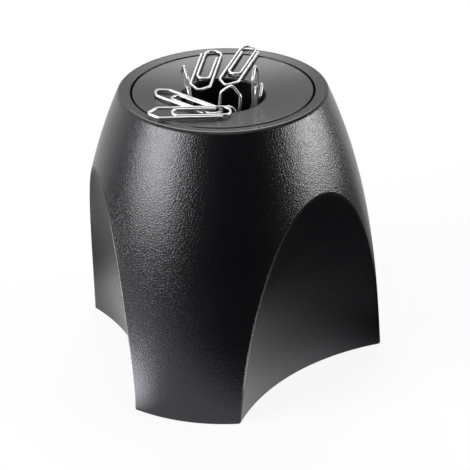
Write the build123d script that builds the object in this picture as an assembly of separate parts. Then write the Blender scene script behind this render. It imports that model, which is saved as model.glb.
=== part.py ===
from build123d import *
import math
import os

# Magnetic paper clip holder, in millimetres. +Z is up, the floor is z = 0, the origin is on the axis of the
# housing, and one of the three feet points along -Y.

# Housing
base_radius = 50.6
rim_radius = 32.5
body_height = 91.2
foot_lean = 3.4
rim_lean = 24.2
wall = 2.2
rim_wall = 2.2
rim_fall = 0.55
rim_round = 1.2
floor_round = 0.5

# Scoops between the feet: round in plan, leaning and opening upwards
foot_count = 3
front_foot_bearing = -90.0
scoop_reach = 30.7
scoop_radius = 71.9
scoop_lean = 8.5
scoop_flare = 0.768
scoop_edge_round = 1.0

# Seat of the lid in the rim
rim_width = 3.8
bore_round = 0.3
bore_wall = 1.8
ledge_width = 3.1
ledge_thickness = 1.8
seat_depth = 5.65

# Lid
lid_groove = 0.75
lid_gap = 0.25
lid_proud = 0.1
lid_edge_depth = 1.1
lid_edge_round = 0.4
dish_depth = 2.05
mouth_radius = 13.0
mouth_round = 0.8
lid_floor_thickness = 2.3
skirt_thickness = 1.8
skirt_web = 2.0
neck_wall = 1.4
neck_tail = 2.5
bead_height = 0.9
bead_width = 0.45

# Magnet, its pocket and its retainer
ledge_gap = 1.4
magnet_thickness = 6.0
magnet_gap = 0.2
pocket_wall = 1.4
retainer_thickness = 1.4
bead_gap = 0.05

# Base plate, its screws and the bosses in the feet
plate_gap = 0.3
plate_recess = 1.0
plate_thickness = 2.0
well_height = 2.5
well_radius = 4.4
boss_inset = 8.1
boss_radius = 3.8
boss_height = 13.0
rib_thickness = 2.0
screw_radius = 1.45
screw_length = 9.0
screw_gap = 0.25
thread_gap = 0.05
head_radius = 2.7
head_height = 1.6
head_gap = 0.4
slot_width = 0.7
slot_length = 3.4
slot_depth = 0.9

# Clip wire
wire_diameter = 0.9
clip_length = 26.0
clip_width = 7.2
leg_pitch = 1.15
gable_height = 2.8
gable_tip_round = 1.3
gable_shoulder_round = 1.8
inner_setback = 7.2
outer_tail = 3.0
inner_tail = 4.2
loop_flat = 0.3
rest_gap = 0.08
wire_samples = 240

# Clips that lie on the lid: round end past the mouth wall or the bore, then its bearing, the heading of the point,
# rise and roll, in degrees
front_lower_reach = 2.2
front_lower_lie = (-80.2, 155.1, 1.3, 3.4)
front_upper_reach = 2.5
front_upper_lie = (-65.8, 206.1, 4.4, -4.4)
back_left_reach = 0.1
back_left_lie = (111.8, 275.2, -6.2, 174.8)
back_right_reach = 3.7
back_right_lie = (88.3, 265.1, -7.2, -1.1)

# Clips that stand in the mouth: point inside the mouth wall and over the mouth, then its bearing, the bearing of
# the clip's width, the bearing that the clip leans to and how far it leans, in degrees
mouth_left_inset = 1.0
mouth_left_height = 9.4
mouth_left_stand = (189.0, 122.9, 170.9, 7.1)
mouth_front_inset = 1.8
mouth_front_height = 7.8
mouth_front_stand = (-60.2, -0.6, -8.5, 6.6)
mouth_right_inset = 1.65
mouth_right_height = 11.8
mouth_right_stand = (-13.0, 91.0, -99.8, 1.7)
far_right_inset = 0.6
far_right_height = 2.5
far_right_stand = (26.3, 111.0, 15.9, 18.0)

# Sizes that follow from the ones above
cut_margin = 2.0
foot_bearings = [front_foot_bearing + 360.0 / foot_count * i for i in range(foot_count)]
scoop_bearings = [bearing + 180.0 / foot_count for bearing in foot_bearings]
rim_inner_z = body_height - rim_fall
cavity_top = rim_inner_z - rim_wall
seat_z = rim_inner_z - seat_depth
bore_radius = rim_radius - rim_width
ledge_radius = bore_radius - ledge_width
lid_radius = bore_radius - lid_groove
skirt_radius = bore_radius - lid_gap
lid_edge_z = rim_inner_z + lid_proud
mouth_z = lid_edge_z - dish_depth
lid_floor_z = mouth_z - lid_floor_thickness
neck_radius = mouth_radius + neck_wall
pocket_outer = ledge_radius - ledge_gap
pocket_radius = pocket_outer - pocket_wall
magnet_outer = pocket_radius - magnet_gap
magnet_inner = neck_radius + magnet_gap
magnet_bottom = lid_floor_z - magnet_thickness
retainer_bottom = magnet_bottom - retainer_thickness
neck_bottom = retainer_bottom - neck_tail
plate_top = plate_recess + plate_thickness
boss_bottom = plate_top + well_height
boss_distance = base_radius - boss_inset
head_seat = boss_bottom - plate_thickness
leg_offset = (clip_width - wire_diameter) / 2
clip_reach = clip_length - wire_diameter


def polar(distance, bearing, z=0.0):
    """Point at a distance from the axis, on a bearing in degrees from +X."""
    angle = math.radians(bearing)
    return Vector(distance * math.cos(angle), distance * math.sin(angle), z)


def turned(inset):
    """The housing's outline of revolution, moved inwards by inset and carried a little below the floor."""
    foot = base_radius - inset
    rim = rim_radius - inset / math.cos(math.radians(rim_lean))
    third = body_height / 3
    side = Bezier(
        (foot, 0),
        (foot - third * math.tan(math.radians(foot_lean)), third),
        (rim + third * math.tan(math.radians(rim_lean)), 2 * third),
        (rim, body_height),
    )
    edges = [
        side,
        Line((rim, body_height), (0, body_height)),
        Line((0, body_height), (0, -cut_margin)),
        Line((0, -cut_margin), (foot, -cut_margin)),
        Line((foot, -cut_margin), (foot, 0)),
    ]
    return revolve(Plane.XZ * make_face(edges), Axis.Z)


def scoop(bearing, inset):
    """One scoop's leaning cone, with its wall moved towards the axis by inset."""
    rise = math.tan(math.radians(scoop_lean)) + scoop_flare
    slices = []
    for z in (-2 * cut_margin, body_height + cut_margin):
        level = Plane(origin=polar(scoop_reach + scoop_radius + rise * z, bearing, z), x_dir=polar(1, bearing))
        slices.append(level * Circle(scoop_radius + scoop_flare * z + inset))
    return loft(slices, ruled=True)


def slab(bottom, top):
    """Everything between two heights."""
    return post(2 * base_radius, bottom, top)


def three_footed(inset, bottom, top):
    """The housing's three-footed form, moved inwards by inset, between two heights."""
    form = turned(inset) & slab(bottom, top)
    for bearing in scoop_bearings:
        form -= scoop(bearing, inset)
    return form


def post(radius, bottom, top, centre=Vector(0, 0, 0)):
    """An upright cylinder between two heights."""
    tall = Cylinder(radius, top - bottom, align=(Align.CENTER, Align.CENTER, Align.MIN))
    return Pos(centre.X, centre.Y, bottom) * tall


def ring(inner, outer, bottom, top):
    """An upright tube between two heights."""
    return post(outer, bottom, top) - post(inner, bottom - cut_margin, top + cut_margin)


def spun(points):
    """A solid of revolution from a closed outline of radius and height."""
    return revolve(Plane.XZ * make_face(Polyline(*points, close=True)), Axis.Z)


def top_circle(solid, radius):
    """The highest circular edge of a radius."""
    circles = solid.edges().filter_by(GeomType.CIRCLE)
    return circles.filter_by(lambda e: math.isclose(e.radius, radius)).sort_by(Axis.Z)[-1]


def housing_outside():
    """The outer form with its falling rim face and rounded edges."""
    form = three_footed(0, 0, body_height)
    scoop_edges = [e for e in form.edges() if cut_margin < e.center().Z < body_height - cut_margin]
    form = fillet(scoop_edges, scoop_edge_round)
    form = fillet(form.edges().group_by(Axis.Z)[0], floor_round)
    cut_top = body_height + cut_margin
    form -= spun(
        [(0, rim_inner_z), (bore_radius, rim_inner_z), (rim_radius, body_height), (rim_radius, cut_top), (0, cut_top)]
    )
    rim_edge = form.edges().filter_by(GeomType.CIRCLE).sort_by(Axis.Z)[-1]
    return fillet(rim_edge, rim_round)


def make_housing():
    """Hollow three-footed housing with the lid's bore and ledge in its rim and a screw boss in each foot."""
    outside = housing_outside()
    shell = outside - three_footed(wall, -cut_margin, cavity_top)
    shell += ring(ledge_radius, bore_radius + bore_wall, seat_z - ledge_thickness, cavity_top)
    shell -= post(bore_radius, seat_z, body_height + cut_margin)
    for bearing in foot_bearings:
        centre = polar(boss_distance, bearing)
        boss = post(boss_radius, boss_bottom, boss_bottom + boss_height, centre)
        rib = Box(boss_inset, rib_thickness, boss_height, align=(Align.MIN, Align.CENTER, Align.MIN))
        boss += Location((centre.X, centre.Y, boss_bottom), (0, 0, bearing)) * rib
        shell += boss & outside
        shell -= post(screw_radius + thread_gap, boss_bottom - cut_margin, boss_bottom + screw_length, centre)
    return fillet(top_circle(shell, bore_radius), bore_round)


def make_base_plate():
    """Three-footed plate that closes the hopper, recessed in the housing, with a screw well over each boss."""
    plate = three_footed(wall + plate_gap, plate_recess, plate_top)
    for bearing in foot_bearings:
        centre = polar(boss_distance, bearing)
        plate += post(well_radius, plate_top - plate_thickness / 2, boss_bottom, centre)
        plate -= post(head_radius + head_gap, plate_recess - cut_margin, head_seat, centre)
        plate -= post(screw_radius + screw_gap, head_seat - cut_margin, boss_bottom + cut_margin, centre)
    return plate


def make_base_screw(bearing):
    """Pan-head screw with a cross slot, driven up into a boss."""
    head_bottom = head_seat - head_height
    screw = post(head_radius, head_bottom, head_seat)
    screw = fillet(screw.edges().sort_by(Axis.Z)[0], head_height / 2)
    screw += post(screw_radius, head_seat, head_seat + screw_length)
    for turn in (0, 90):
        slot = Box(slot_length, slot_width, 2 * slot_depth)
        screw -= Location((0, 0, head_bottom), (0, 0, turn)) * slot
    return Pos(polar(boss_distance, bearing)) * screw


def dish_height(radius):
    """Height of the lid's dished top at a distance from the axis."""
    share = (radius**2 - mouth_radius**2) / (lid_radius**2 - mouth_radius**2)
    return mouth_z + dish_depth * share


def make_lid():
    """Dished lid with a round mouth, a skirt that sits on the ledge, a neck and a pocket for the magnet."""
    middle = (mouth_radius + lid_radius) / 2
    web_z = lid_edge_z - skirt_web
    top = ThreePointArc((mouth_radius, mouth_z), (middle, dish_height(middle)), (lid_radius, lid_edge_z))
    bead_top = retainer_bottom - bead_gap
    outline = Polyline(
        (lid_radius, lid_edge_z),
        (skirt_radius, lid_edge_z - lid_edge_depth),
        (skirt_radius, seat_z),
        (skirt_radius - skirt_thickness, seat_z),
        (skirt_radius - skirt_thickness, web_z),
        (pocket_outer, web_z),
        (pocket_outer, magnet_bottom),
        (pocket_radius, magnet_bottom),
        (pocket_radius, lid_floor_z),
        (neck_radius, lid_floor_z),
        (neck_radius, bead_top),
        (neck_radius + bead_width, bead_top),
        (neck_radius, bead_top - bead_height),
        (neck_radius, neck_bottom),
        (mouth_radius, neck_bottom),
        (mouth_radius, mouth_z),
    )
    lid = revolve(Plane.XZ * make_face([top] + list(outline.edges())), Axis.Z)
    lid = fillet(top_circle(lid, mouth_radius), mouth_round)
    return fillet(top_circle(lid, lid_radius), lid_edge_round)


def clip_path():
    """Centreline of one clip in its own plane: round end at x = 0, point at x = clip_reach."""
    overshoot = gable_tip_round * (1 / math.sin(math.atan2(leg_offset, gable_height)) - 1)
    end_round = leg_offset - leg_pitch / 2 - loop_flat / 2
    inner_round = leg_offset - leg_pitch - loop_flat / 2
    shoulder = clip_reach - gable_height
    inner_end = clip_reach - inner_setback
    inner_leg = leg_offset - leg_pitch
    return FilletPolyline(
        (outer_tail, leg_offset),
        (shoulder, leg_offset),
        (clip_reach + overshoot, 0),
        (shoulder, -leg_offset),
        (0, -leg_offset),
        (0, inner_leg),
        (inner_end, inner_leg),
        (inner_end, -inner_leg),
        (inner_tail, -inner_leg),
        radius=[gable_shoulder_round, gable_tip_round, gable_shoulder_round]
        + [end_round, end_round, inner_round, inner_round],
    )


def wire_line(path, seat):
    """Points along a clip's centreline in its seat."""
    return [seat.from_local_coords(path.position_at(i / wire_samples)) for i in range(wire_samples + 1)]


def height_below(point):
    """Height of the lid or rim under a point, or None over the mouth, the groove and the outside."""
    distance = math.hypot(point.X, point.Y)
    if mouth_radius < distance < lid_radius:
        return dish_height(distance)
    if bore_radius < distance < rim_radius:
        return rim_inner_z + rim_fall * (distance - bore_radius) / (rim_radius - bore_radius)
    return None


def lift_needed(line, below):
    """How far a clip has to rise to clear the lid, the rim and the clip that lies below it."""
    reach = wire_diameter + rest_gap
    lifts = []
    for point in line:
        ground = height_below(point)
        if ground is not None:
            lifts.append(ground + reach - wire_diameter / 2 - point.Z)
        for other in below:
            apart = (point.X - other.X) ** 2 + (point.Y - other.Y) ** 2
            if apart < reach**2:
                lifts.append(other.Z + math.sqrt(reach**2 - apart) - point.Z)
    return max(lifts)


def lying_seat(path, distance, lie, below=()):
    """Plane of a clip that rests on the lid, at the height where its wire just clears what is under it."""
    bearing, heading, rise, roll = lie
    along = polar(math.cos(math.radians(rise)), heading, math.sin(math.radians(rise)))
    across = polar(1, heading + 90)
    up = along.cross(across)
    tilt = math.radians(roll)
    normal = up * math.cos(tilt) - across * math.sin(tilt)
    level = Plane(origin=polar(distance, bearing), x_dir=along, z_dir=normal)
    lift = lift_needed(wire_line(path, level), below)
    return Plane(origin=polar(distance, bearing, lift), x_dir=along, z_dir=normal)


def standing_seat(inset, height, stand):
    """Plane of a clip that stands in the mouth with its point up."""
    bearing, width_bearing, lean_bearing, lean = stand
    along = polar(math.sin(math.radians(lean)), lean_bearing, math.cos(math.radians(lean)))
    tip = polar(mouth_radius - inset, bearing, mouth_z + height)
    normal = along.cross(polar(1, width_bearing)).normalized()
    return Plane(origin=tip - along * clip_reach, x_dir=along, z_dir=normal)


def make_clips():
    """Eight clips: four that lie on the lid and four that stand in the mouth."""
    path = clip_path()
    wire = sweep(Plane(origin=path @ 0, z_dir=path % 0) * Circle(wire_diameter / 2), path=path)
    lower = lying_seat(path, mouth_radius + front_lower_reach, front_lower_lie)
    upper_place = mouth_radius + front_upper_reach
    seats = {
        "clip_front_lower": lower,
        "clip_front_upper": lying_seat(path, upper_place, front_upper_lie, wire_line(path, lower)),
        "clip_back_left": lying_seat(path, bore_radius + back_left_reach, back_left_lie),
        "clip_back_right": lying_seat(path, bore_radius + back_right_reach, back_right_lie),
        "clip_mouth_left": standing_seat(mouth_left_inset, mouth_left_height, mouth_left_stand),
        "clip_mouth_front": standing_seat(mouth_front_inset, mouth_front_height, mouth_front_stand),
        "clip_mouth_right": standing_seat(mouth_right_inset, mouth_right_height, mouth_right_stand),
        "clip_mouth_far_right": standing_seat(far_right_inset, far_right_height, far_right_stand),
    }
    return {name: seat.location * wire for name, seat in seats.items()}


def make_parts():
    """Every piece of the holder by name."""
    parts = {
        "housing": make_housing(),
        "base_plate": make_base_plate(),
        "lid": make_lid(),
        "ring_magnet": ring(magnet_inner, magnet_outer, magnet_bottom, lid_floor_z),
        "magnet_retainer": ring(magnet_inner, pocket_outer, retainer_bottom, magnet_bottom),
    }
    for number, bearing in enumerate(foot_bearings, 1):
        parts[f"base_screw_{number}"] = make_base_screw(bearing)
    parts.update(make_clips())
    return parts


os.makedirs("parts", exist_ok=True)
for name, piece in make_parts().items():
    export_step(piece, f"parts/{name}.step")
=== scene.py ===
import math

import bpy
import numpy as np
from mathutils import Matrix, Vector


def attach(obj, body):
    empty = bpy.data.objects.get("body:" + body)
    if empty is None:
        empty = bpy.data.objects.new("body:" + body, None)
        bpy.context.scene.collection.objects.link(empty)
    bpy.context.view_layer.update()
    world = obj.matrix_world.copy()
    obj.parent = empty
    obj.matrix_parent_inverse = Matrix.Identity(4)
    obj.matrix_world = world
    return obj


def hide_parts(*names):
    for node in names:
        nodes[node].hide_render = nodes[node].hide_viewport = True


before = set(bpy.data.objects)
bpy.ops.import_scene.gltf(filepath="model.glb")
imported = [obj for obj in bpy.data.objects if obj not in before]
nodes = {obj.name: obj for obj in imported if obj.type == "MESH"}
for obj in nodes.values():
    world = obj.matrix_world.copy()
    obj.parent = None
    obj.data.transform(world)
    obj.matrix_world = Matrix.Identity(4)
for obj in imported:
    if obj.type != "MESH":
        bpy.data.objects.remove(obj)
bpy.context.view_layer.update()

MM = 0.001
RIGHT_ANGLE = 90.0

# Outline of the housing's turned side in millimetres, and its lean in degrees at the foot and at the rim
BASE_RADIUS = 50.6
RIM_RADIUS = 32.5
BODY_HEIGHT = 91.2
FOOT_LEAN = 3.4
RIM_LEAN = 24.2

# Pointed clip with an inner loop, in millimetres, and how finely its wire is drawn
WIRE_DIAMETER = 0.9
CLIP_LENGTH = 26.0
CLIP_WIDTH = 7.2
LEG_PITCH = 1.15
GABLE_HEIGHT = 2.8
GABLE_TIP_ROUND = 1.3
GABLE_SHOULDER_ROUND = 1.8
INNER_SETBACK = 7.2
OUTER_TAIL = 3.0
INNER_TAIL = 4.2
LOOP_FLAT = 0.3
WIRE_SIDES = 20
RING_STEP = 0.25
BEND_STEPS = 16

# Moulded styrene plastic: its refraction, and the cool tint of its reflections
STYRENE_IOR = 1.58
COOL_SHEEN = (0.90, 0.90, 1.0, 1)

# Camera in metres and degrees, with the small turns of a hand-held shot, and its lens in millimetres
CAMERA_TARGET_HEIGHT = 0.04561
CAMERA_DISTANCE = 0.5983
CAMERA_AZIMUTH = 15.909
CAMERA_ELEVATION = 27.733
CAMERA_YAW = 0.287
CAMERA_PITCH = -0.529
CAMERA_ROLL = -1.139
CAMERA_LENS = 142.69
SENSOR_WIDTH = 36.0

# Studio: lengths in metres, and bearings in degrees to the right of the camera, as seen from the object
FLOOR_SIZE = 4.0
FLOOR_COLOUR = (0.9, 0.9, 0.9, 1.0)
FLOOR_GLOW_SHARE = 0.88
WHITE = (1, 1, 1, 1)
WHITE_GLOW = 1.0
WORLD_FILL = 0.3
LAMP_COLOUR = (1.0, 1.0, 0.94)
LAMP_DISTANCE = 0.8
CARD_RADIUS = 0.95
CARD_STEP = 15
STRIP_HEIGHT = 0.0012


# Helpers for node trees

def wire_in(tree, value, socket):
    """Links an output to a socket, or sets the socket to a plain value."""
    if isinstance(value, bpy.types.NodeSocket):
        tree.links.new(value, socket)
    else:
        socket.default_value = value


def add(tree, kind, settings=None, **inputs):
    """New node with its settings and its inputs, named with underscores for spaces."""
    node = tree.nodes.new(kind)
    for key, value in (settings or {}).items():
        setattr(node, key, value)
    for key, value in inputs.items():
        wire_in(tree, value, node.inputs[key.replace("_", " ")])
    return node


def calc(tree, operation, *values, clamp=False):
    """Math node; returns its output."""
    node = add(tree, "ShaderNodeMath", {"operation": operation, "use_clamp": clamp})
    for value, socket in zip(values, node.inputs):
        wire_in(tree, value, socket)
    return node.outputs["Value"]


def vector_calc(tree, operation, *values):
    """Vector math node; returns its vector output."""
    node = add(tree, "ShaderNodeVectorMath", {"operation": operation})
    for value, socket in zip(values, node.inputs):
        wire_in(tree, value, socket)
    return node.outputs["Vector"]


def blend_of(tree, kind, share, first, second):
    """Mix node of a kind of data, FLOAT or RGBA; returns its output."""
    node = add(tree, "ShaderNodeMix", {"data_type": kind}, Factor=share)
    wire_in(tree, first, node.inputs["A"])
    wire_in(tree, second, node.inputs["B"])
    return node.outputs["Result"]


def ramp(tree, value, low, high, start=0.0, end=1.0):
    """Smooth rise from start to end as a value goes from low to high; returns its output."""
    node = add(tree, "ShaderNodeMapRange", {"interpolation_type": "SMOOTHSTEP"}, Value=value)
    for label, size in (("From Min", low), ("From Max", high), ("To Min", start), ("To Max", end)):
        wire_in(tree, size, node.inputs[label])
    return node.outputs["Result"]


def noise(tree, place, scale, detail):
    """Noise texture; returns its outputs."""
    return add(tree, "ShaderNodeTexNoise", Vector=place, Scale=scale, Detail=detail).outputs


def place_on_part(tree):
    """Object coordinates, in metres in the part's own frame."""
    return tree.nodes.new("ShaderNodeTexCoord").outputs["Object"]


def new_group(name, kind, inputs, outputs):
    """Node group with named sockets; returns the tree, its inputs and its outputs."""
    tree = bpy.data.node_groups.new(name, kind)
    for label, socket in inputs:
        tree.interface.new_socket(label, in_out="INPUT", socket_type=socket)
    for label, socket in outputs:
        tree.interface.new_socket(label, in_out="OUTPUT", socket_type=socket)
    given = tree.nodes.new("NodeGroupInput").outputs
    result = tree.nodes.new("NodeGroupOutput").inputs
    return tree, given, result


def use_group(tree, group, **inputs):
    """Places a shader node group in a material; returns its outputs."""
    return add(tree, "ShaderNodeGroup", {"node_tree": group}, **inputs).outputs


# Shared surface effects

def leather_grain_group():
    """Pebbled mould grain: height of rounded cells with creases between them, and a slow cloud."""
    tree, given, result = new_group(
        "Leather grain", "ShaderNodeTree",
        [("Place", "NodeSocketVector"), ("Cell Size", "NodeSocketFloat")],
        [("Height", "NodeSocketFloat"), ("Cloud", "NodeSocketFloat")],
    )
    wander_share = 0.5
    wander_detail = 2.0
    crease_width = 0.35
    fine_share = 0.4
    fine_step = 2.7
    fine_detail = 3.0
    cloud_step = 0.06
    cloud_detail = 3.0
    per_metre = calc(tree, "DIVIDE", 1.0, given["Cell Size"])
    wander = noise(tree, given["Place"], per_metre, wander_detail)["Color"]
    reach = calc(tree, "MULTIPLY", given["Cell Size"], wander_share)
    sway = add(tree, "ShaderNodeVectorMath", {"operation": "SCALE"}, Vector=wander, Scale=reach)
    shifted = vector_calc(tree, "ADD", given["Place"], sway.outputs["Vector"])
    cells = add(tree, "ShaderNodeTexVoronoi", {"feature": "DISTANCE_TO_EDGE"},
                Vector=shifted, Scale=per_metre)
    pebble = ramp(tree, cells.outputs["Distance"], 0.0, crease_width)
    fine = noise(tree, given["Place"], calc(tree, "MULTIPLY", per_metre, fine_step), fine_detail)["Fac"]
    cloud = noise(tree, given["Place"], calc(tree, "MULTIPLY", per_metre, cloud_step), cloud_detail)["Fac"]
    wire_in(tree, blend_of(tree, "FLOAT", fine_share, pebble, fine), result["Height"])
    wire_in(tree, cloud, result["Cloud"])
    return tree


def turned_side_group():
    """Mask that is 1 on the housing's turned side and 0 on the scoops, the rim and the inside."""
    tree, given, result = new_group(
        "Turned side", "ShaderNodeTree", [("Place", "NodeSocketVector")], [("Mask", "NodeSocketFloat")])
    edge_start = 0.15 * MM
    edge_end = 0.5 * MM
    apart = add(tree, "ShaderNodeSeparateXYZ", Vector=given["Place"]).outputs
    across = add(tree, "ShaderNodeCombineXYZ", X=apart["X"], Y=apart["Y"]).outputs["Vector"]
    radius = add(tree, "ShaderNodeVectorMath", {"operation": "LENGTH"}, Vector=across).outputs["Value"]
    up = calc(tree, "DIVIDE", apart["Z"], BODY_HEIGHT * MM)
    down = calc(tree, "SUBTRACT", 1.0, up)
    third = BODY_HEIGHT / 3
    low_pull = BASE_RADIUS - third * math.tan(math.radians(FOOT_LEAN))
    high_pull = RIM_RADIUS + third * math.tan(math.radians(RIM_LEAN))
    pulls = [BASE_RADIUS, low_pull, high_pull, RIM_RADIUS]
    degree = len(pulls) - 1
    outline = 0.0
    for power, pull in enumerate(pulls):
        rising = calc(tree, "POWER", up, float(power))
        falling = calc(tree, "POWER", down, float(degree - power))
        share = calc(tree, "MULTIPLY", rising, falling)
        outline = calc(tree, "MULTIPLY_ADD", share, math.comb(degree, power) * pull * MM, outline)
    depth = calc(tree, "SUBTRACT", outline, radius)
    wire_in(tree, ramp(tree, depth, edge_start, edge_end, 1.0, 0.0), result["Mask"])
    return tree


def fine_skin_group():
    """Fine skin of smooth moulded plastic or plated metal: a small height and a slow cloud."""
    tree, given, result = new_group(
        "Fine skin", "ShaderNodeTree",
        [("Place", "NodeSocketVector"), ("Grain Size", "NodeSocketFloat")],
        [("Height", "NodeSocketFloat"), ("Cloud", "NodeSocketFloat")],
    )
    skin_detail = 4.0
    cloud_step = 0.03
    cloud_detail = 3.0
    per_metre = calc(tree, "DIVIDE", 1.0, given["Grain Size"])
    height = noise(tree, given["Place"], per_metre, skin_detail)["Fac"]
    cloud = noise(tree, given["Place"], calc(tree, "MULTIPLY", per_metre, cloud_step), cloud_detail)["Fac"]
    wire_in(tree, height, result["Height"])
    wire_in(tree, cloud, result["Cloud"])
    return tree


leather_grain = leather_grain_group()
turned_side = turned_side_group()
fine_skin = fine_skin_group()


# Finishes

def bare_material(name):
    """Material with nothing but its output; returns it, its tree and the output's surface."""
    material = bpy.data.materials.new(name)
    material.use_nodes = True
    tree = material.node_tree
    tree.nodes.clear()
    surface = tree.nodes.new("ShaderNodeOutputMaterial").inputs["Surface"]
    return material, tree, surface


def new_material(name):
    """Material with its Principled shader joined to the output."""
    material, tree, surface = bare_material(name)
    shader = tree.nodes.new("ShaderNodeBsdfPrincipled")
    tree.links.new(shader.outputs["BSDF"], surface)
    return material, tree, shader


def plastic_sheen(shader):
    """Gives a shader the reflections of black styrene."""
    shader.inputs["IOR"].default_value = STYRENE_IOR
    shader.inputs["Specular Tint"].default_value = COOL_SHEEN


def bump(tree, shader, height, strength, depth):
    """Joins a height to the shader's normal."""
    node = add(tree, "ShaderNodeBump", Strength=strength, Distance=depth, Height=height)
    tree.links.new(node.outputs["Normal"], shader.inputs["Normal"])


def grained_black():
    """Black moulded plastic: leather grain on the turned side, plain satin in the scoops and on the rim."""
    material, tree, shader = new_material("grained_black")
    plastic_sheen(shader)
    deep = (0.0020, 0.0019, 0.0030, 1)
    worn = (0.0030, 0.0029, 0.0042, 1)
    cell_size = 0.78 * MM
    skin_size = 0.25 * MM
    skin_share = 0.06
    plain_gloss = (0.25, 0.30)
    grain_gloss = (0.265, 0.305)
    grain_depth = 0.053 * MM
    edge_drop = 2.5
    grain_strength = 1.0
    place = place_on_part(tree)
    grain = use_group(tree, leather_grain, Place=place, Cell_Size=cell_size)
    skin = use_group(tree, fine_skin, Place=place, Grain_Size=skin_size)
    side = use_group(tree, turned_side, Place=place)["Mask"]
    wire_in(tree, blend_of(tree, "RGBA", grain["Cloud"], deep, worn), shader.inputs["Base Color"])
    plain = blend_of(tree, "FLOAT", skin["Cloud"], *plain_gloss)
    grained = blend_of(tree, "FLOAT", grain["Cloud"], *grain_gloss)
    wire_in(tree, blend_of(tree, "FLOAT", side, plain, grained), shader.inputs["Roughness"])
    smooth = calc(tree, "MULTIPLY", skin["Height"], skin_share)
    relief = blend_of(tree, "FLOAT", side, smooth, grain["Height"])
    rounded = calc(tree, "MULTIPLY_ADD", side, -edge_drop, relief)
    bump(tree, shader, rounded, grain_strength, grain_depth)
    return material


def skinned(name, colours, gloss, grain_size, depth, metallic=0.0):
    """Plain plastic, ferrite or plated metal: a cloud of two colours and roughnesses, and a fine skin."""
    material, tree, shader = new_material(name)
    strength = 0.3
    skin = use_group(tree, fine_skin, Place=place_on_part(tree), Grain_Size=grain_size)
    wire_in(tree, blend_of(tree, "RGBA", skin["Cloud"], *colours), shader.inputs["Base Color"])
    wire_in(tree, blend_of(tree, "FLOAT", skin["Cloud"], *gloss), shader.inputs["Roughness"])
    if metallic:
        shader.inputs["Metallic"].default_value = metallic
    else:
        plastic_sheen(shader)
    bump(tree, shader, skin["Height"], strength, depth)
    return material


def galvanised_wire():
    """Zinc-coated wire with the fine streaks that the drawing die leaves along it."""
    material, tree, shader = new_material("galvanised_wire")
    dull = (0.42, 0.42, 0.43, 1)
    bright = (0.68, 0.68, 0.68, 1)
    gloss = (0.30, 0.46)
    streak_width = 0.12 * MM
    streak_length = 2.5 * MM
    streak_depth = 0.004 * MM
    streak_strength = 0.5
    streak_detail = 3.0
    dullest = 0.3
    brightest = 0.7
    section = add(tree, "ShaderNodeAttribute", {"attribute_name": "section"}).outputs["Vector"]
    along = add(tree, "ShaderNodeAttribute", {"attribute_name": "along"}).outputs["Fac"]
    run = add(tree, "ShaderNodeCombineXYZ", Z=calc(tree, "MULTIPLY", along, streak_width / streak_length))
    place = vector_calc(tree, "ADD", section, run.outputs["Vector"])
    streak = noise(tree, place, 1 / streak_width, streak_detail)["Fac"]
    share = ramp(tree, streak, dullest, brightest)
    wire_in(tree, blend_of(tree, "RGBA", share, dull, bright), shader.inputs["Base Color"])
    wire_in(tree, blend_of(tree, "FLOAT", share, *gloss), shader.inputs["Roughness"])
    shader.inputs["Metallic"].default_value = 1.0
    bump(tree, shader, streak, streak_strength, streak_depth)
    return material


def dress(names, material):
    """Gives CAD pieces their finish."""
    for name in names:
        mesh = nodes[name].data
        mesh.materials.clear()
        mesh.materials.append(material)


satin_lid = dict(
    colours=((0.0050, 0.0050, 0.0058, 1), (0.0075, 0.0075, 0.0085, 1)),
    gloss=(0.26, 0.32), grain_size=0.3 * MM, depth=0.004 * MM,
)
spark_black = dict(
    colours=((0.006, 0.006, 0.007, 1), (0.012, 0.012, 0.013, 1)),
    gloss=(0.45, 0.55), grain_size=0.35 * MM, depth=0.03 * MM,
)
ground_ferrite = dict(
    colours=((0.020, 0.020, 0.022, 1), (0.045, 0.044, 0.045, 1)),
    gloss=(0.42, 0.60), grain_size=0.2 * MM, depth=0.02 * MM,
)
zinc_screw = dict(
    colours=((0.50, 0.49, 0.46, 1), (0.66, 0.65, 0.62, 1)),
    gloss=(0.25, 0.40), grain_size=0.3 * MM, depth=0.01 * MM, metallic=1.0,
)
dress(["housing"], grained_black())
dress(["lid"], skinned("satin_lid", **satin_lid))
dress(["base_plate", "magnet_retainer"], skinned("spark_black", **spark_black))
dress(["ring_magnet"], skinned("ground_ferrite", **ground_ferrite))
dress([name for name in nodes if name.startswith("base_screw_")], skinned("zinc_screw", **zinc_screw))


# Clips

def clip_corners():
    """Corners of a clip's centreline in its own plane, each with its bend radius, in millimetres."""
    leg = (CLIP_WIDTH - WIRE_DIAMETER) / 2
    reach = CLIP_LENGTH - WIRE_DIAMETER
    overshoot = GABLE_TIP_ROUND * (1 / math.sin(math.atan2(leg, GABLE_HEIGHT)) - 1)
    end_round = leg - LEG_PITCH / 2 - LOOP_FLAT / 2
    inner_leg = leg - LEG_PITCH
    inner_round = inner_leg - LOOP_FLAT / 2
    shoulder = reach - GABLE_HEIGHT
    inner_end = reach - INNER_SETBACK
    return [
        (OUTER_TAIL, leg, 0.0),
        (shoulder, leg, GABLE_SHOULDER_ROUND),
        (reach + overshoot, 0.0, GABLE_TIP_ROUND),
        (shoulder, -leg, GABLE_SHOULDER_ROUND),
        (0.0, -leg, end_round),
        (0.0, inner_leg, end_round),
        (inner_end, inner_leg, inner_round),
        (inner_end, -inner_leg, inner_round),
        (INNER_TAIL, -inner_leg, 0.0),
    ]


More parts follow.
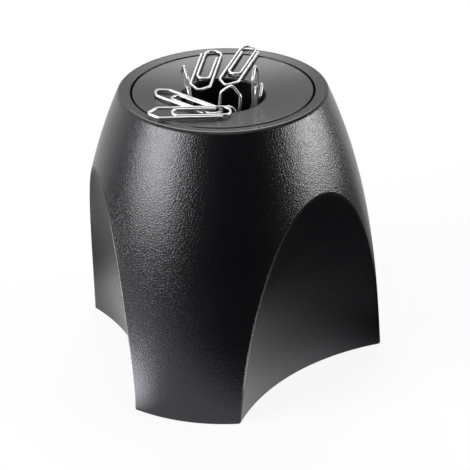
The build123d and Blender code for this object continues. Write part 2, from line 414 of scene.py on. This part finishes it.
def bent_wire_tree():
    """Geometry nodes that bend a line at its corners and sweep a round wire along it."""
    tree, given, result = new_group(
        "Bent wire", "GeometryNodeTree",
        [
            ("Line", "NodeSocketGeometry"),
            ("Wire Diameter", "NodeSocketFloat"),
            ("Wire Sides", "NodeSocketInt"),
            ("Ring Step", "NodeSocketFloat"),
            ("Bend Steps", "NodeSocketInt"),
            ("Finish", "NodeSocketMaterial"),
        ],
        [("Wire", "NodeSocketGeometry")],
    )
    side_corners = 4
    line = add(tree, "GeometryNodeMeshToCurve", Mesh=given["Line"]).outputs["Curve"]
    bends = add(tree, "GeometryNodeInputNamedAttribute", {"data_type": "FLOAT"}, Name="bend_round")
    bent = add(tree, "GeometryNodeFilletCurve", {"mode": "POLY"}, Curve=line, Count=given["Bend Steps"],
               Radius=bends.outputs["Attribute"], Limit_Radius=True).outputs["Curve"]
    even = add(tree, "GeometryNodeResampleCurve", {"mode": "LENGTH"}, Curve=bent, Length=given["Ring Step"])
    run = tree.nodes.new("GeometryNodeSplineParameter").outputs["Length"]
    path = add(tree, "GeometryNodeStoreNamedAttribute", {"data_type": "FLOAT", "domain": "POINT"},
               Geometry=even.outputs["Curve"], Name="along", Value=run).outputs["Geometry"]
    radius = calc(tree, "DIVIDE", given["Wire Diameter"], 2.0)
    circle = add(tree, "GeometryNodeCurvePrimitiveCircle", Resolution=given["Wire Sides"], Radius=radius)
    spot = tree.nodes.new("GeometryNodeInputPosition").outputs["Position"]
    section = add(tree, "GeometryNodeStoreNamedAttribute", {"data_type": "FLOAT_VECTOR", "domain": "POINT"},
                  Geometry=circle.outputs["Curve"], Name="section", Value=spot).outputs["Geometry"]
    wire = add(tree, "GeometryNodeCurveToMesh", Curve=path, Profile_Curve=section, Fill_Caps=True)
    corners = tree.nodes.new("GeometryNodeCornersOfFace").outputs["Total"]
    is_side = add(tree, "FunctionNodeCompare", {"data_type": "INT", "operation": "LESS_EQUAL"},
                  A=corners, B=side_corners).outputs["Result"]
    smooth = add(tree, "GeometryNodeSetShadeSmooth", Geometry=wire.outputs["Mesh"], Shade_Smooth=is_side)
    whole = add(tree, "GeometryNodeRealizeInstances", Geometry=smooth.outputs["Geometry"])
    finished = add(tree, "GeometryNodeSetMaterial",
                   Geometry=whole.outputs["Geometry"], Material=given["Finish"])
    wire_in(tree, finished.outputs["Geometry"], result["Wire"])
    return tree


def grown(mesh, tree, sizes):
    """Plain mesh that a geometry tree makes of a base mesh, with its named sizes."""
    base = bpy.data.objects.new(tree.name, mesh)
    bpy.context.scene.collection.objects.link(base)
    modifier = base.modifiers.new(tree.name, "NODES")
    modifier.node_group = tree
    for item in tree.interface.items_tree:
        if item.name in sizes:
            modifier[item.identifier] = sizes[item.name]
    result = bpy.data.meshes.new_from_object(base.evaluated_get(bpy.context.evaluated_depsgraph_get()))
    bpy.data.objects.remove(base)
    return result


def clip_wire():
    """One clip in its own plane, swept from its corners."""
    corners = clip_corners()
    line = bpy.data.meshes.new("clip_line")
    joins = [(i, i + 1) for i in range(len(corners) - 1)]
    line.from_pydata([(x * MM, y * MM, 0.0) for x, y, bend in corners], joins, [])
    rounds = line.attributes.new("bend_round", "FLOAT", "POINT")
    rounds.data.foreach_set("value", [bend * MM for x, y, bend in corners])
    sizes = {
        "Wire Diameter": WIRE_DIAMETER * MM,
        "Wire Sides": WIRE_SIDES,
        "Ring Step": RING_STEP * MM,
        "Bend Steps": BEND_STEPS,
        "Finish": galvanised_wire(),
    }
    return grown(line, bent_wire_tree(), sizes)


def own_axes(mesh):
    """Matrix of a mesh's centre and its long, wide and thin axes, each pointed to its heavier side."""
    mesh.calc_loop_triangles()
    points = np.array([vertex.co for vertex in mesh.vertices])
    corners = points[np.array([triangle.vertices for triangle in mesh.loop_triangles])]
    sides = corners[:, 1:] - corners[:, :1]
    areas = np.linalg.norm(np.cross(sides[:, 0], sides[:, 1]), axis=1) / 2
    middles = corners.mean(axis=1)
    centre = areas @ middles / areas.sum()
    offsets = corners - centre
    sums = offsets.sum(axis=1)
    spread = np.einsum("t,tij,tik->jk", areas, offsets, offsets)
    spread += np.einsum("t,tj,tk->jk", areas, sums, sums)
    from_thin_to_long = np.linalg.eigh(spread)[1].T
    wide, long = from_thin_to_long[1:]
    far = (middles - centre) @ long
    aside = (middles - centre) @ wide
    long = long * np.sign(areas @ far**3)
    wide = wide * np.sign(areas @ (far**2 * aside))
    axes = Matrix((long, wide, np.cross(long, wide))).transposed().to_4x4()
    return Matrix.Translation(centre) @ axes


def lay_clips():
    """Swept wire in the place of each CAD clip, riding on its body."""
    pattern = clip_wire()
    to_pattern = own_axes(pattern).inverted()
    for name in [node for node in nodes if node.startswith("clip_")]:
        mesh = pattern.copy()
        mesh.transform(own_axes(nodes[name].data) @ to_pattern)
        wire = bpy.data.objects.new(name.replace("clip_", "wire_"), mesh)
        bpy.context.scene.collection.objects.link(wire)
        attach(wire, name)
        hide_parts(name)


lay_clips()


# Camera

def place_camera():
    """Camera at the photograph's viewing angle."""
    orbit = Matrix.Rotation(math.radians(CAMERA_AZIMUTH), 4, "Z")
    orbit = orbit @ Matrix.Rotation(math.radians(RIGHT_ANGLE - CAMERA_ELEVATION), 4, "X")
    aim = Matrix.Rotation(math.radians(-CAMERA_YAW), 4, "Y")
    aim = aim @ Matrix.Rotation(math.radians(CAMERA_PITCH), 4, "X")
    aim = aim @ Matrix.Rotation(math.radians(CAMERA_ROLL), 4, "Z")
    back = Matrix.Translation((0, 0, CAMERA_DISTANCE))
    data = bpy.data.cameras.new("camera")
    data.sensor_width = SENSOR_WIDTH
    data.lens = CAMERA_LENS
    camera = bpy.data.objects.new("camera", data)
    camera.matrix_world = Matrix.Translation((0, 0, CAMERA_TARGET_HEIGHT)) @ orbit @ back @ aim
    bpy.context.scene.collection.objects.link(camera)
    bpy.context.scene.camera = camera


place_camera()


# Studio

def towards(bearing, elevation):
    """Direction from the object, on a bearing to the right of the camera."""
    turn = math.radians(CAMERA_AZIMUTH + bearing)
    rise = math.radians(elevation)
    level = math.cos(rise)
    return Vector((math.sin(turn) * level, -math.cos(turn) * level, math.sin(rise)))


def seen_share(tree):
    """1 for the rays that see the backdrop straight, in a mirror or through glass."""
    path = tree.nodes.new("ShaderNodeLightPath").outputs
    straight = calc(tree, "ADD", path["Is Camera Ray"], path["Is Glossy Ray"])
    return calc(tree, "ADD", straight, path["Is Transmission Ray"], clamp=True)


def mixed(tree, share, first, second):
    """Mix of two shaders; returns its output."""
    node = add(tree, "ShaderNodeMixShader", Fac=share)
    for shader, socket in zip((first, second), node.inputs[1:]):
        tree.links.new(shader.outputs[0], socket)
    return node.outputs["Shader"]


def stage_mesh(name, points, faces, material):
    """Stage object from points and faces."""
    mesh = bpy.data.meshes.new(name)
    mesh.from_pydata(points, [], faces)
    mesh.materials.append(material)
    thing = bpy.data.objects.new(name, mesh)
    bpy.context.scene.collection.objects.link(thing)
    return thing


def stage_sheet(name, corners, material):
    """Stage object with a single face."""
    return stage_mesh(name, corners, [tuple(range(len(corners)))], material)


def level_square(centre, half):
    """Corners of a level square round a point."""
    x, y, z = centre
    offsets = ((-half, -half), (half, -half), (half, half), (-half, half))
    return [(x + across, y + along, z) for across, along in offsets]


def make_floor():
    """White floor that glows to the camera and still takes the object's shadow."""
    material, tree, surface = bare_material("white_floor")
    paint = add(tree, "ShaderNodeBsdfDiffuse", Color=FLOOR_COLOUR)
    glow = add(tree, "ShaderNodeEmission", Strength=WHITE_GLOW)
    share = calc(tree, "MULTIPLY", seen_share(tree), FLOOR_GLOW_SHARE)
    tree.links.new(mixed(tree, share, paint, glow), surface)
    stage_sheet("floor", level_square((0, 0, 0), FLOOR_SIZE / 2), material)


def make_world():
    """White backdrop to the eye, with a weaker fill light."""
    world = bpy.data.worlds.new("studio")
    world.use_nodes = True
    tree = world.node_tree
    tree.nodes.clear()
    surface = tree.nodes.new("ShaderNodeOutputWorld").inputs["Surface"]
    fill = add(tree, "ShaderNodeBackground", Color=WHITE, Strength=WORLD_FILL)
    backdrop = add(tree, "ShaderNodeBackground", Color=WHITE, Strength=WHITE_GLOW)
    tree.links.new(mixed(tree, seen_share(tree), fill, backdrop), surface)
    bpy.context.scene.world = world


def softbox(name, bearing, elevation, width, height, brightness):
    """Soft lamp turned to the object; brightness is its radiance, where 1 is white."""
    data = bpy.data.lights.new(name, "AREA")
    data.shape = "RECTANGLE"
    data.size = width
    data.size_y = height
    data.energy = brightness * math.pi * width * height
    data.color = LAMP_COLOUR
    lamp = bpy.data.objects.new(name, data)
    aim = towards(bearing, elevation)
    lamp.location = aim * LAMP_DISTANCE + Vector((0, 0, CAMERA_TARGET_HEIGHT))
    lamp.rotation_euler = aim.to_track_quat("Z", "Y").to_euler()
    lamp.visible_camera = False
    bpy.context.scene.collection.objects.link(lamp)


def gloss_only(thing):
    """Lets only reflections see a stage object."""
    thing.visible_camera = False
    thing.visible_diffuse = False
    thing.visible_shadow = False
    thing.visible_transmission = False


def reflection_glow_paint(name, strength):
    """Plain glowing paint, where a strength of 1 is white, for stage sheets that paint reflections onto the
    object.
    """
    material, tree, surface = bare_material(name)
    glow = add(tree, "ShaderNodeEmission", Strength=strength)
    tree.links.new(glow.outputs["Emission"], surface)
    return material


def wall_card(name, shade, first, last, height):
    """Upright glowing card round the object from a first bearing to a last one, seen in reflections only:
    it paints dark or grey reflections onto the object and lights nothing.
    """
    bearings = range(first, last + 1, CARD_STEP)
    points = []
    for level in (0, height):
        for bearing in bearings:
            points.append(towards(bearing, 0) * CARD_RADIUS + Vector((0, 0, level)))
    count = len(bearings)
    faces = [(step, step + 1, step + count + 1, step + count) for step in range(count - 1)]
    gloss_only(stage_mesh(name, points, faces, reflection_glow_paint(name, shade)))


def fan(tree, place, bearing, cosines):
    """Share that rises as a place turns to a bearing, between two cosines of its angle from it."""
    outward = vector_calc(tree, "NORMALIZE", place)
    along = add(tree, "ShaderNodeVectorMath", {"operation": "DOT_PRODUCT"}, Vector=outward)
    along.inputs[1].default_value = towards(bearing, 0)
    return ramp(tree, along.outputs["Value"], *cosines)


def floor_patch(name, bearing, distance, height, reach, clear_at, paint_at, paint,
                fan_bearing=0, fan_cosines=None):
    """Floor patch, clear at one distance from its centre and painted at another, seen in reflections only:
    it paints shade or glow into the object's reflections of the floor.
    """
    centre = towards(bearing, 0) * distance + Vector((0, 0, height))
    material, tree, surface = bare_material(name)
    glow = add(tree, "ShaderNodeEmission", Strength=paint)
    clear = tree.nodes.new("ShaderNodeBsdfTransparent")
    place = place_on_part(tree)
    away = add(tree, "ShaderNodeVectorMath", {"operation": "DISTANCE"}, Vector=place)
    away.inputs[1].default_value = centre
    share = ramp(tree, away.outputs["Value"], clear_at, paint_at)
    if fan_cosines:
        share = calc(tree, "MULTIPLY", share, fan(tree, place, fan_bearing, fan_cosines))
    tree.links.new(mixed(tree, share, clear, glow), surface)
    gloss_only(stage_sheet(name, level_square(centre, reach), material))


def floor_strip(name, rights, fronts, paint):
    """Glowing strip between two distances to the right and two to the front, seen in reflections only: it
    paints a highlight onto the object and lights nothing.
    """
    to_right = towards(RIGHT_ANGLE, 0)
    to_front = towards(0, 0)
    near, far = fronts
    left, right = rights
    corners = []
    for across, forward in ((left, near), (right, near), (right, far), (left, far)):
        corners.append(to_right * across + to_front * forward + Vector((0, 0, STRIP_HEIGHT)))
    gloss_only(stage_sheet(name, corners, reflection_glow_paint(name, paint)))


make_floor()
make_world()
# Painted reflections: a black card in front and a grey glowing card behind, seen only in the object's
# reflections.
wall_card("front_dark_reflection_card", shade=0.0, first=-100, last=125, height=1.4)
wall_card("back_grey_reflection_card", shade=0.62, first=125, last=200, height=0.8)
# Painted shade: dark and grey floor patches, seen only in reflections, that darken the object's reflections
# of the white floor at the front, by the right scoop and by the left scoop.
floor_patch("floor_shade", bearing=-105, distance=0.085, height=0.0005, reach=0.95,
            clear_at=0.11, paint_at=0.145, paint=0.0, fan_bearing=10, fan_cosines=(-0.7, -0.35))
floor_patch("right_shade", bearing=45, distance=0.075, height=0.0007, reach=0.06,
            clear_at=0.045, paint_at=0.025, paint=0.22)
floor_patch("left_shade", bearing=-120, distance=0.13, height=0.0007, reach=0.08,
            clear_at=0.078, paint_at=0.05, paint=0.22)
# Painted highlight: a glowing floor patch seen only in reflections, which brightens the lower left of the
# front foot.
floor_patch("left_foot_painted_glow", bearing=-57, distance=0.062, height=0.001, reach=0.03,
            clear_at=0.03, paint_at=0.012, paint=7.5)
# Painted highlights: glowing floor strips, seen only in reflections, that draw a light line along the edges
# of the right and left scoops.
floor_strip("right_edge_highlight_near", rights=(0.020, 0.055), fronts=(0.043, 0.061), paint=7.5)
floor_strip("right_edge_highlight_far", rights=(0.055, 0.105), fronts=(0.051, 0.063), paint=3.0)
floor_strip("left_edge_highlight_near", rights=(-0.10, -0.06), fronts=(-0.016, 0.004), paint=5.0)
floor_strip("left_edge_highlight_far", rights=(-0.19, -0.10), fronts=(-0.055, -0.005), paint=4.0)
softbox("left_softbox", bearing=-64, elevation=17, width=0.55, height=0.45, brightness=11.4)
softbox("right_softbox", bearing=91, elevation=10, width=0.65, height=0.28, brightness=10.8)
softbox("back_softbox", bearing=180, elevation=50, width=0.5, height=0.3, brightness=5.2)

bpy.context.scene.view_settings.view_transform = "Standard"
